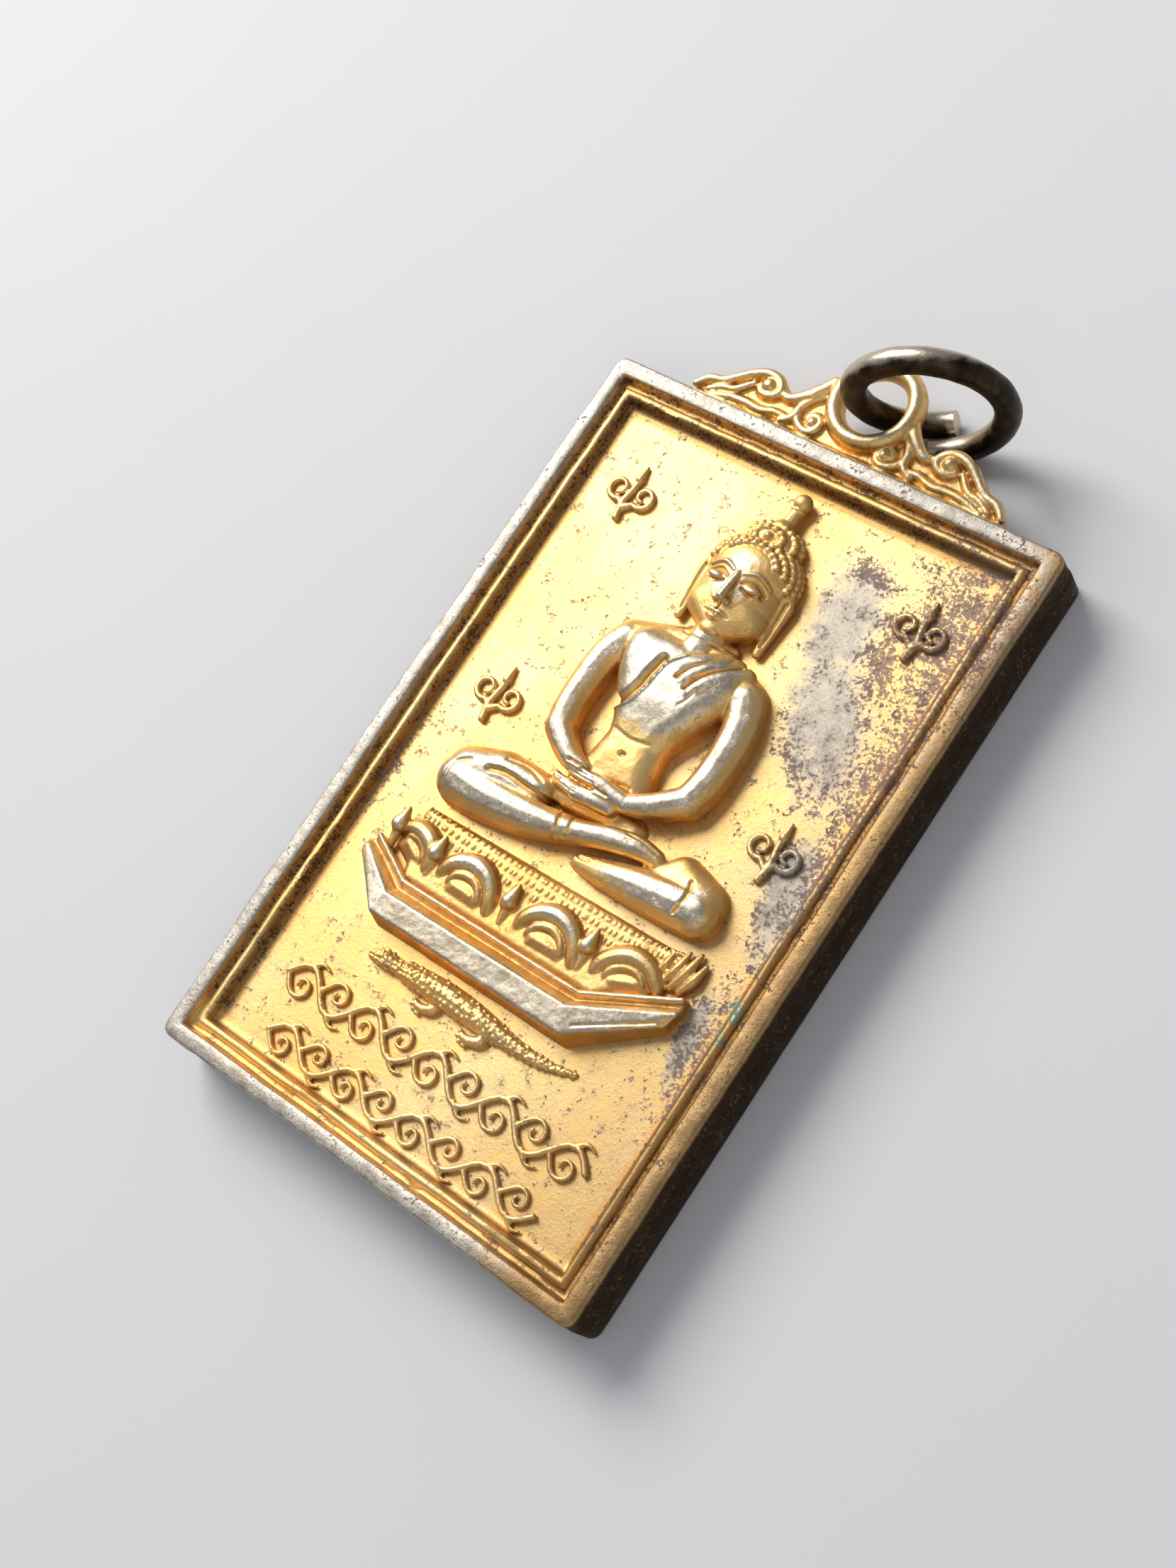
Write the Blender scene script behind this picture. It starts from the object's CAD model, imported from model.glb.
import bpy
import math
import random
import numpy as np
from mathutils import Matrix, Vector


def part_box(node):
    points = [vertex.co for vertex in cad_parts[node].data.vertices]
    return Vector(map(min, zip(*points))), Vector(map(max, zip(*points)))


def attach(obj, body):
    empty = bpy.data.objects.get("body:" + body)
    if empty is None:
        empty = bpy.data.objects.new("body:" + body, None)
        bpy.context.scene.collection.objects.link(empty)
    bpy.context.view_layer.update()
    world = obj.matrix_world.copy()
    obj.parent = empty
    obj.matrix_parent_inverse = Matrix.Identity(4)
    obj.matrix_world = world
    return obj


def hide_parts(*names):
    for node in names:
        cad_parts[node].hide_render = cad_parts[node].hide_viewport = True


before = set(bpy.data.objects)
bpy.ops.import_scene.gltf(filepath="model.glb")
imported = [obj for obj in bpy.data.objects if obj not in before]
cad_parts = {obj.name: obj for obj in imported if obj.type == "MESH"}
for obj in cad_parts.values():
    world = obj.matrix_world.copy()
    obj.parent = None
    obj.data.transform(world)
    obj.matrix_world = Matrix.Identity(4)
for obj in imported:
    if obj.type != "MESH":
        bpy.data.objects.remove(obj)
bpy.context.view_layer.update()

print("frame loaded:", ", ".join(sorted(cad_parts)))

# Shapes are drawn in millimetres and brought to metres when a piece is finished.
mm = 0.001

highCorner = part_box("plaque")[1]
halfWidth = highCorner.x / mm
halfHeight = highCorner.y / mm
rimTop = highCorner.z / mm
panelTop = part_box("seated_figure")[0].z / mm
bedding = 0.08  # how far a relief goes into the panel


# Selection and joining

def clearPick():
    bpy.ops.object.select_all(action="DESELECT")
    bpy.context.view_layer.objects.active = None


def pick(*items):
    clearPick()
    for item in items:
        item.select_set(True)
    bpy.context.view_layer.objects.active = items[0]


def joinUp(parts):
    pick(*parts)
    if len(parts) > 1:
        bpy.ops.object.join()
    bpy.ops.object.transform_apply(location=True, rotation=True, scale=True)
    return bpy.context.object


def modify(piece, kind, **settings):
    pick(piece)
    bpy.ops.object.modifier_add(type=kind)
    step = piece.modifiers[-1]
    for key, value in settings.items():
        setattr(step, key, value)
    bpy.ops.object.modifier_apply(modifier=step.name)


def editMesh(kind=None):
    # edit mode with everything selected
    bpy.ops.object.mode_set(mode="EDIT")
    if kind:
        bpy.ops.mesh.select_mode(type=kind)
    bpy.ops.mesh.select_all(action="SELECT")


def endEdit():
    bpy.ops.object.mode_set(mode="OBJECT")


def choose(piece, kind, rule):
    # edit mode with the points, edges or faces selected that fit the rule
    bpy.ops.object.mode_set(mode="EDIT")
    bpy.ops.mesh.select_mode(type=kind)
    bpy.ops.mesh.select_all(action="DESELECT")
    endEdit()
    mesh = piece.data
    for item in {"VERT": mesh.vertices, "EDGE": mesh.edges, "FACE": mesh.polygons}[kind]:
        item.select = rule(item)
    bpy.ops.object.mode_set(mode="EDIT")


def smoothPath(rows, steps):
    # curve through the rows, each of them any number of values
    rows = [Vector(row) for row in rows]
    path = []
    for i in range(len(rows) - 1):
        a, b, c, d = rows[max(i - 1, 0)], rows[i], rows[i + 1], rows[min(i + 2, len(rows) - 1)]
        for s in range(steps):
            t = s / steps
            path.append(b + (c - a) * t / 2 + (2 * a - 5 * b + 4 * c - d) * t * t / 2
                        + (3 * b - a - 3 * c + d) * t ** 3 / 2)
    return path + [rows[-1]]


# Shapes

def ball(x, y, z, rx, ry=None, rz=None, turn=0, segments=24):
    clearPick()
    bpy.ops.mesh.primitive_uv_sphere_add(
        segments=segments, ring_count=segments // 2, radius=1, location=(x, y, z),
        rotation=(0, 0, math.radians(turn)), scale=(rx, ry or rx, rz or ry or rx))
    return bpy.context.object


def stretch(*balls):
    # the skin round several balls
    piece = joinUp(balls)
    editMesh()
    bpy.ops.mesh.convex_hull()
    endEdit()
    return piece


def chain(points):
    # a chain of edges through the points
    clearPick()
    bpy.ops.mesh.primitive_plane_add(size=0.01, location=points[0][:3])
    editMesh("VERT")
    bpy.ops.mesh.merge(type="CENTER")
    for here, there in zip(points, points[1:]):
        step = Vector(there[:3]) - Vector(here[:3])
        bpy.ops.mesh.extrude_vertices_move(TRANSFORM_OT_translate={"value": step})
    endEdit()
    return bpy.context.object


def rod(rows, steps=4, fine=4, roundEnds=True):
    # a limb through rows of x, y, z and radius
    path = smoothPath(rows, steps)
    chain(path)
    bpy.ops.object.convert(target="CURVE")
    line = bpy.context.object.data
    points = line.splines[0].points
    turned = points[0].co.xyz.length > points[-1].co.xyz.length
    for point, row in zip(points, reversed(path) if turned else path):
        point.radius = row[3]
    line.bevel_depth = 1
    line.bevel_resolution = fine
    line.use_fill_caps = True
    bpy.ops.object.convert(target="MESH")
    piece = bpy.context.object
    if not roundEnds:
        return joinUp([piece])
    return joinUp([piece, ball(*rows[0], segments=16), ball(*rows[-1], segments=16)])


def fuse(name, parts, voxel, smooth, cut=True):
    # one skin over all the parts, closed where it meets the panel
    piece = joinUp(parts)
    piece.name = piece.data.name = name
    modify(piece, "REMESH", mode="VOXEL", voxel_size=voxel)
    modify(piece, "SMOOTH", factor=0.5, iterations=smooth)
    if cut:
        editMesh()
        bpy.ops.mesh.bisect(plane_co=(0, 0, panelTop - bedding), plane_no=(0, 0, 1),
                            use_fill=True, clear_inner=True)
        endEdit()
    return piece


def readPoints(piece, what="co"):
    values = np.zeros(len(piece.data.vertices) * 3, np.float32)
    piece.data.vertices.foreach_get(what, values)
    return values.reshape(-1, 3).astype(float)


def chase(piece, strokes):
    # lines cut into the skin, or raised from it where the depth is negative: width, depth, path
    points = readPoints(piece)
    normals = readPoints(piece, "normal")
    shift = np.zeros(len(points))
    for width, depth, path in strokes:
        line = np.array([list(p)[:2] for p in smoothPath(path, 5)])
        near = np.full(len(points), 9.0)
        low, high = line.min(0) - width, line.max(0) + width
        inside = ((points[:, :2] > low) & (points[:, :2] < high)).all(1) & (normals[:, 2] > -0.2)
        spots = points[inside][:, :2]
        reach = np.full(len(spots), 9.0)
        for a, b in zip(line, line[1:]):
            along = np.clip(((spots - a) @ (b - a)) / max((b - a) @ (b - a), 1e-9), 0, 1)
            reach = np.minimum(reach, np.linalg.norm(spots - a - along[:, None] * (b - a), axis=1))
        near[inside] = reach
        shift += depth * np.clip(1 - (near / width) ** 2, 0, 1) ** 2
    piece.data.vertices.foreach_set("co", (points - normals * shift[:, None]).ravel())
    piece.data.update()


def roughen(piece, size, strength, group="", direction="NORMAL"):
    # uneven cast skin
    clouds = bpy.data.textures.new("cast skin", "CLOUDS")
    clouds.noise_scale = size
    clouds.noise_depth = 2
    clouds.noise_type = "SOFT_NOISE"
    clouds.cloud_type = "COLOR" if direction == "RGB_TO_XYZ" else "GRAYSCALE"
    modify(piece, "DISPLACE", texture=clouds, texture_coords="LOCAL", strength=strength, mid_level=0.5,
           vertex_group=group, direction=direction)


def note(piece, name, values, least):
    # a value at each point, for the finish to read
    layer = piece.data.attributes.new(name, "FLOAT", "POINT")
    layer.data.foreach_set("value", np.clip(values, least, 1).astype(np.float32))


def noteRelief(piece, name, rounds, span):
    # how far each point stands out of what is round it
    points = readPoints(piece)
    normals = readPoints(piece, "normal")
    edges = np.zeros(len(piece.data.edges) * 2, np.int32)
    piece.data.edges.foreach_get("vertices", edges)
    ends = np.concatenate([edges.reshape(-1, 2), edges.reshape(-1, 2)[:, ::-1]])
    count = np.bincount(ends[:, 0], minlength=len(points))[:, None].clip(1)
    soft = points.copy()
    for turn in range(rounds):
        total = np.stack([np.bincount(ends[:, 0], soft[ends[:, 1], k], len(points)) for k in range(3)], 1)
        soft = (soft + total / count) / 2
    note(piece, name, ((points - soft) * normals).sum(1) / span, -1)


def castSkin(piece, shape):
    for size, strength in shape["skin"]:
        roughen(piece, size, strength)


def finishPiece(piece, shape, finish, node):
    # notes what the finish reads, brings the piece to metres and gives it its finish and node
    for name in ("form", "edge"):
        if name in shape:
            noteRelief(piece, name, *shape[name])
    note(piece, "flank", 1 - readPoints(piece, "normal")[:, 2], 0)
    pick(piece)
    editMesh()
    bpy.ops.mesh.remove_doubles(threshold=0.0005)
    bpy.ops.mesh.normals_make_consistent(inside=False)
    endEdit()
    piece.scale = (mm, mm, mm)
    bpy.ops.object.transform_apply(location=True, rotation=True, scale=True)
    bpy.ops.object.shade_smooth_by_angle(angle=math.radians(50))
    piece.data.materials.clear()
    piece.data.materials.append(finish)
    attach(piece, "root")
    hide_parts(node)
    print(piece.name, "is done,", sum(len(face.vertices) - 2 for face in piece.data.polygons), "triangles")


# Finishes

class Signal:
    # a socket that takes part in sums
    def __init__(self, recipe, socket):
        self.recipe = recipe
        self.socket = socket

    def sum(self, operation, first, second=None):
        values = {0: first} if second is None else {0: first, 1: second}
        return self.recipe.node("Math", {"operation": operation}, values)

    def __add__(self, other):
        return self.sum("ADD", self, other)

    def __sub__(self, other):
        return self.sum("SUBTRACT", self, other)

    def __rsub__(self, other):
        return self.sum("SUBTRACT", other, self)

    def __mul__(self, other):
        return self.sum("MULTIPLY", self, other)

    def __truediv__(self, other):
        return self.sum("DIVIDE", self, other)

    def __neg__(self):
        return self.sum("MULTIPLY", self, -1)

    def __abs__(self):
        return self.sum("ABSOLUTE", self)

    __radd__ = __add__
    __rmul__ = __mul__

    def largest(self, other):
        return self.sum("MAXIMUM", self, other)

    def smallest(self, other):
        return self.sum("MINIMUM", self, other)


class Recipe:
    # the nodes of one finish
    def __init__(self, name):
        self.material = bpy.data.materials.new(name)
        self.material.use_nodes = True
        self.tree = self.material.node_tree
        self.tree.nodes.clear()

    def node(self, kind, settings=None, values=None, output=0):
        made = self.tree.nodes.new("ShaderNode" + kind)
        for key, value in (settings or {}).items():
            setattr(made, key, value)
        for key, value in (values or {}).items():
            if isinstance(value, Signal):
                self.tree.links.new(value.socket, made.inputs[key])
            else:
                made.inputs[key].default_value = value
        return Signal(self, made.outputs[output]) if made.outputs else made

    def place(self):
        spot = self.node("TexCoord", output="Object")
        return self.node("VectorMath", {"operation": "SCALE"}, {0: spot, "Scale": 1 / mm})

    def read(self, name):
        # a value that was noted at each point
        return self.node("Attribute", {"attribute_name": name}, None, "Fac")

    def noise(self, where, scale, detail=4, roughness=0.55):
        return self.node("TexNoise", None, {"Vector": where, "Scale": scale, "Detail": detail,
                                            "Roughness": roughness})

    def ease(self, value, start, end, low=0.0, high=1.0):
        return self.node("MapRange", {"interpolation_type": "SMOOTHSTEP"},
                         {0: value, 1: start, 2: end, 3: low, 4: high})

    def mix(self, share, first, second):
        fill = [value if isinstance(value, Signal) else tuple(value) + (1,) for value in (first, second)]
        return self.node("Mix", {"data_type": "RGBA"}, {0: share, 6: fill[0], 7: fill[1]}, 2)

    def bump(self, height, distance, strength, under=None):
        values = {"Height": height, "Distance": distance * mm, "Strength": strength}
        if under:
            values["Normal"] = under
        return self.node("Bump", None, values)

    def surface(self, values):
        shader = self.node("BsdfPrincipled", None, values)
        self.node("OutputMaterial", None, {"Surface": shader})
        return self.material


giltLook = {
    "gold": (0.90, 0.565, 0.19),
    "paleGold": (0.93, 0.65, 0.285),
    "duskGold": (0.74, 0.44, 0.15),
    "haze": (0.60, 0.40, 0.185),
    "bloomHaze": (0.56, 0.44, 0.25),
    "deepGold": (0.52, 0.25, 0.06),
    "worn": (0.72, 0.655, 0.535),
    "wornDark": (0.47, 0.41, 0.32),
    "wornPit": (0.30, 0.235, 0.15),
    "rimWorn": (0.62, 0.565, 0.48),
    "rimDark": (0.42, 0.36, 0.285),
    "rimBrown": (0.36, 0.20, 0.065),
    "rimGold": (0.52, 0.33, 0.13),
    "groove": (0.27, 0.145, 0.05),
    "grime": (0.085, 0.045, 0.018),
    "film": (0.25, 0.165, 0.14),
    "bloom": (0.52, 0.475, 0.40),
    "bloomDark": (0.34, 0.30, 0.25),
    "verdigris": (0.20, 0.34, 0.24),
    "wall": (0.030, 0.017, 0.009),
    "wallGold": (0.17, 0.09, 0.03),
    # x, y, half sizes and turn in degrees of the grey blooms and of the brown stains
    "blooms": [(4.7, 12.0, 1.5, 2.6, 12), (6.6, 7.8, 1.8, 3.6, 27), (9.4, 0.5, 0.9, 2.6, 10),
               (9.2, -6.3, 0.5, 1.8, 5)],
    "stains": [(9.6, 13.8, 2.6, 4.0, 5), (10.0, 7.5, 1.1, 4.5, 0), (10.0, 1.5, 0.85, 3.8, 0),
               (9.9, -6.5, 1.0, 3.4, 0), (4.6, 14.4, 1.3, 0.6, -8), (7.3, 11.2, 0.7, 2.2, 25),
               (-3.6, -15.3, 0.7, 0.5, 20), (-10.1, -3.0, 0.25, 3.2, 0)],
    "greenSpot": (10.4, -5.0, 1.8),  # x, y and half length
    # y of the strip at the foot of the panel where the hollows and the seams grow bright
    "litFoot": (-16.7, -15.9),
    "cleanFoot": (-16.6, -15.6),
    "lowLevels": (3.25, 2.95),  # heights over which a shaded piece turns to deep gold
    # distances from the outer edge to the rim's inner side, the groove and the foot of the frame
    "rimInset": 0.8,
    "grooveInset": 0.98,
    "footInset": 1.66,
}


def giltFinish(name, wearHeight, wearStart, rim=False, roughness=0.45, speckle=0.0, hollow=0.75,
               tarnished=0.0, dull=0.0, kept=None, shaded=0.0):
    # worn gilding over pale metal, dark in its hollows, tarnished on one side
    recipe = Recipe(name)
    ease, mix = recipe.ease, recipe.mix
    look = giltLook
    where = recipe.place()
    axes = recipe.node("SeparateXYZ", None, {0: where}).socket.node
    x, y, z = [Signal(recipe, axis) for axis in axes.outputs]
    broad = recipe.noise(where, 0.22, 3)
    middle = recipe.noise(where, 1.3, 6, 0.6)
    grain = recipe.noise(where, 6.5, 5, 0.6)
    dust = recipe.noise(where, 24, 3, 0.6)
    sway, grit = middle - 0.5, grain - 0.5  # the same noises, on both sides of zero
    form, edge, flank = [recipe.read(name) for name in ("form", "edge", "flank")]

    def patchField(rows):
        # 1 in the middle of a patch, 0.5 on its outline, 0 well outside
        field = None
        for px, py, rx, ry, turn in rows:
            c, s = math.cos(math.radians(turn)), math.sin(math.radians(turn))
            u = ((x - px) * c + (y - py) * s) / rx
            v = ((y - py) * c - (x - px) * s) / ry
            patch = 1 - (u * u + v * v) * 0.5
            field = patch if field is None else field.largest(patch)
        return field.largest(0)

    # grey bloom with a speckled brown fringe, brown stains, fine specks thicker on that side
    cloud = patchField(look["blooms"]) + (broad - 0.5) * 0.7 + sway * 1.1
    bloom = ease(cloud + grit * 0.34, 0.24, 0.88)
    bloomHaze = ease(cloud, -0.15, 0.45) * tarnished
    fringe = ease(cloud, 0.15, 0.42) * ease(cloud, 1.0, 0.6) * ease(x, 3.0, 6.0)
    stain = patchField(look["stains"]) * ease(y, 0.0, 8.0, 0.19, 0.25)
    speck = grain + sway * 0.6
    film = ease(speck + (fringe * 0.15).largest(stain), 0.62, 0.73) * tarnished
    haze = ease(x + (broad - 0.5) * 8 + sway * 4, 1.5, 9.5)
    specks = ease(speck + ease(x, -4.0, 11.5) * 0.10, 0.735, 0.78) * (1 - bloom * 0.75) * speckle

    # bare metal on what stands out, grime in what lies deep
    high = ease(z, wearHeight, wearHeight + 0.7)
    ragged = sway * 0.5 + grit * 0.8
    rubbed = form * 0.7 + edge * 0.4 + high * 0.8 - flank * 1.6 + ragged
    if kept:
        rubbed = rubbed - patchField(kept) * 0.7
    low = ease(z, *look["lowLevels"]) * shaded
    bare = ease(rubbed - low * 0.5, wearStart, wearStart + 0.3)
    deep = ease(-form * 0.9 - edge * 0.6 + sway * 0.5, 0.12, 0.62)
    if rim:
        hollow = ease(y, *look["litFoot"], hollow * 0.35, hollow)

    gold = mix(ease(broad + sway * 0.4, 0.35, 0.7), look["gold"], look["paleGold"])
    gold = mix(ease(middle + grit * 0.5, 0.48, 0.75) * 0.55, gold, look["duskGold"])
    gold = mix(haze * 0.6 * tarnished, gold, look["haze"])
    steep = ease(flank + sway * 0.6, 0.3, 0.9)
    gold = mix(steep * hollow * 0.75, gold, look["deepGold"])
    gold = mix((deep * hollow).largest(low), gold, look["deepGold"])
    gold = mix(bloomHaze * 0.55, gold, look["bloomHaze"])
    clean = ease(middle + grit * 0.8 - dull, 0.35, 0.65)
    metal = mix(clean, look["wornDark"], look["worn"])
    colour = mix(bare * 0.9, gold, metal)
    pitted = ease(grain + (dust - 0.5) * 0.6 + flank * 0.35, 0.60, 0.70) * bare
    colour = mix(pitted * 0.6, colour, look["wornPit"])
    rough = roughness + grit * 0.16 - bare * 0.05
    bumps = grain * 0.6 + dust * 0.4
    if rim:
        # bare rim, browner on the right, dirt along the frame, dark walls
        fromEdge = (halfWidth - abs(x)).smallest(halfHeight - abs(y))
        onRim = ease(fromEdge - look["rimInset"] + sway * 0.16, 0.06, -0.06)
        brown = ease(x + sway * 5 - y * 0.1, 8.0, 11.0)
        rimClean = ease(middle + grit * 0.6, 0.34, 0.62)
        rimMetal = mix(rimClean, look["rimDark"], look["rimWorn"])
        rimMetal = mix(brown * 0.85, rimMetal, look["rimBrown"])
        gilded = brown * ease(middle + grit * 0.4, 0.44, 0.58)
        rimMetal = mix(gilded * 0.7, rimMetal, look["rimGold"])
        rimMetal = mix(ease(speck, 0.60, 0.68) * 0.65, rimMetal, look["groove"])
        colour = mix(brown * ease(fromEdge, 2.1, 1.6) * 0.65, colour, look["rimBrown"])
        colour = mix(onRim, colour, rimMetal)
        groove = ease(abs(fromEdge - look["grooveInset"]), 0.25, 0.06)
        foot = ease(abs(fromEdge - look["footInset"]), 0.32, 0.06)
        seams = groove.largest(foot) * ease(y, *look["cleanFoot"], 0.12, 1.0)
        colour = mix(seams * 0.7, colour, look["groove"])
        colour = mix(seams * ease(speck, 0.50, 0.62), colour, look["grime"])
        wall = ease(z, rimTop - 0.12, rimTop - 0.4) * ease(fromEdge, 0.3, 0.12)
        film = film * (1 - wall)
        wallTone = mix(ease(speck, 0.5, 0.8), look["wall"], look["wallGold"])
        colour = mix(wall * 0.96, colour, wallTone)
        rough = rough + wall * 0.1 + onRim * 0.04
        bumps = bumps + onRim * recipe.noise(where, 3.0, 4, 0.65) * 1.6
    dusk = ease(middle + grit * 0.6 + ease(y, 10.0, 6.0) * 0.12, 0.36, 0.76)
    tarnish = mix(dusk, look["bloom"], look["bloomDark"])
    colour = mix(bloom * 0.88, colour, tarnish)
    colour = mix(film * 0.8, colour, look["film"])
    colour = mix(specks * 0.8, colour, look["film"])
    gx, gy, reach = look["greenSpot"]
    green = ease(abs(x - gx), 0.6, 0.25) * ease(abs(y - gy), reach, 0.7) * ease(middle, 0.48, 0.6)
    colour = mix(green * 0.7, colour, look["verdigris"])
    skin = recipe.bump(bumps, 0.03, 0.6)
    pits = recipe.bump(ease(middle + grit * 0.6, 0.70, 0.62), 0.025, 0.5, skin)
    return recipe.surface({
        "Base Color": colour,
        "Metallic": 1 - bloom * 0.3 - film * 0.3,
        "Roughness": rough + bloom * 0.08 + film * 0.14 + specks * 0.1,
        "Normal": pits,
    })


plateFinish = giltFinish("gilt plate", 9.0, 0.95, rim=True, roughness=0.47, speckle=1.0, tarnished=1.0)
reliefFinish = giltFinish("gilt relief", 2.95, 0.6, speckle=0.5, hollow=0.12, tarnished=1.0)
throneFinish = giltFinish("worn throne", 2.82, 0.2, shaded=0.5)
figureFinish = giltFinish("worn figure", 3.05, 0.38, kept=[(0.0, 2.3, 2.0, 1.25, 0)])
headFinish = giltFinish("worn head", 3.5, 0.5)
plinthFinish = giltFinish("worn plinth", 2.9, 0.05, roughness=0.47, dull=0.06, shaded=0.4)
crestFinish = giltFinish("worn crest", 1.95, 0.75, roughness=0.42, hollow=0.8)

ringLook = {
    "bronze": (0.024, 0.018, 0.014),
    "brown": (0.085, 0.055, 0.03),
    "bright": (0.68, 0.58, 0.43),
}


def ringFinish():
    # dark bronze wire, rubbed bright on its outside
    recipe = Recipe("dark ring")
    look = ringLook
    where = recipe.place()
    middle = recipe.noise(where, 1.1, 5, 0.6)
    grain = recipe.noise(where, 9, 4, 0.6)
    rubbed = recipe.ease(recipe.read("rubbed") + (middle - 0.5) * 0.7 + (grain - 0.5) * 0.3, 0.46, 0.9)
    tone = recipe.mix(recipe.ease(middle, 0.35, 0.7), look["bronze"], look["brown"])
    colour = recipe.mix(rubbed * 0.85, tone, look["bright"])
    return recipe.surface({
        "Base Color": colour,
        "Metallic": 0.95,
        "Roughness": 0.40 + (grain - 0.5) * 0.2 - rubbed * 0.08,
        "Normal": recipe.bump(grain, 0.02, 0.5),
    })


wireFinish = ringFinish()
print("finishes are made")


# Plaque

plaqueShape = {
    "cornerRadius": 0.55,
    "seam": (1.66, 0.07),  # height and width of the casting seam in the wall
    "seamStep": 0.045,
    # inset from the outer edge and height
    "frame": [(0.03, 3.1), (0.08, 3.17), (0.16, 3.2), (0.45, 3.2), (0.67, 3.2), (0.75, 3.15),
              (0.8, 3.0), (0.84, 2.84), (0.92, 2.77), (1.08, 2.78), (1.14, 2.87), (1.21, 2.96),
              (1.34, 2.99), (1.47, 2.96), (1.55, 2.84), (1.61, 2.6), (1.70, 2.45), (1.9, 2.4)],
    "foot": [(0.08, 0.1), (0.3, 0.03), (0.45, 0.01), (1.0, 0.0)],
    "wallTop": 2.9,
    "wallFoot": 0.2,
    "cuts": 110,
    "longEdge": 8,  # edges longer than this are cut up
    "roughBand": 1.5,  # width of the rim that is uneven
    # size and strength of each unevenness of the rim, then of the whole
    "rimBends": (2.6, 0.10),
    "rimGrain": (0.42, 0.05),
    "skin": [(3.5, 0.03), (0.5, 0.012)],
    "form": (12, 0.12),
    "edge": (3, 0.05),
}


def stepInward(rows, start, sign):
    # takes the selected face inward and up or down through the rows
    inset, level = start
    sharp = False
    for nextInset, nextLevel in rows:
        bpy.ops.mesh.inset(thickness=nextInset - inset, depth=(nextLevel - level) * sign,
                           use_even_offset=True)
        inset, level = nextInset, nextLevel
        if not sharp and inset > plaqueShape["cornerRadius"] - 0.2:
            bpy.ops.mesh.remove_doubles(threshold=0.36)
            sharp = True


def makePlaque():
    shape = plaqueShape
    wallTop, wallFoot = shape["wallTop"], shape["wallFoot"]
    seam, seamWidth = shape["seam"]
    depth = wallTop - wallFoot
    clearPick()
    bpy.ops.mesh.primitive_cube_add(size=1, location=(0, 0, wallFoot + depth / 2),
                                    scale=(2 * halfWidth, 2 * halfHeight, depth))
    plaque = joinUp([bpy.context.object])
    plaque.name = plaque.data.name = "plaque_casting"

    def span(edge):
        a, b = [plaque.data.vertices[k].co for k in edge.vertices]
        return a - b

    choose(plaque, "EDGE", lambda edge: abs(span(edge).z) > depth / 2)
    bpy.ops.mesh.bevel(offset=shape["cornerRadius"], segments=6, affect="EDGES")
    for level in (seam, seam + seamWidth):
        bpy.ops.mesh.select_all(action="SELECT")
        bpy.ops.mesh.bisect(plane_co=(0, 0, level), plane_no=(0, 0, 1))
    choose(plaque, "FACE", lambda face: face.normal.z > 0.9)
    stepInward(shape["frame"], (0, wallTop), 1)
    choose(plaque, "FACE", lambda face: face.normal.z < -0.9)
    stepInward(shape["foot"], (0, wallFoot), -1)
    # the wall below the seam stands a little proud
    choose(plaque, "VERT", lambda point: point.co.z < seam + 0.01)
    grow = shape["seamStep"]
    bpy.ops.transform.resize(value=(1 + grow / halfWidth, 1 + grow / halfHeight, 1),
                             center_override=(0, 0, 0))
    choose(plaque, "EDGE", lambda edge: span(edge).length > shape["longEdge"] and abs(span(edge).z) < 0.05)
    bpy.ops.mesh.subdivide(number_cuts=shape["cuts"])
    endEdit()
    rimGroup = plaque.vertex_groups.new(name="rim")
    outer = [p.index for p in plaque.data.vertices if p.co.z > 0.5
             and min(halfWidth - abs(p.co.x), halfHeight - abs(p.co.y)) < shape["roughBand"]]
    rimGroup.add(outer, 1, "REPLACE")
    roughen(plaque, *shape["rimBends"], group="rim", direction="RGB_TO_XYZ")
    roughen(plaque, *shape["rimGrain"], group="rim")
    castSkin(plaque, shape)
    finishPiece(plaque, shape, plateFinish, "plaque")


makePlaque()


# Seated figure

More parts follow.
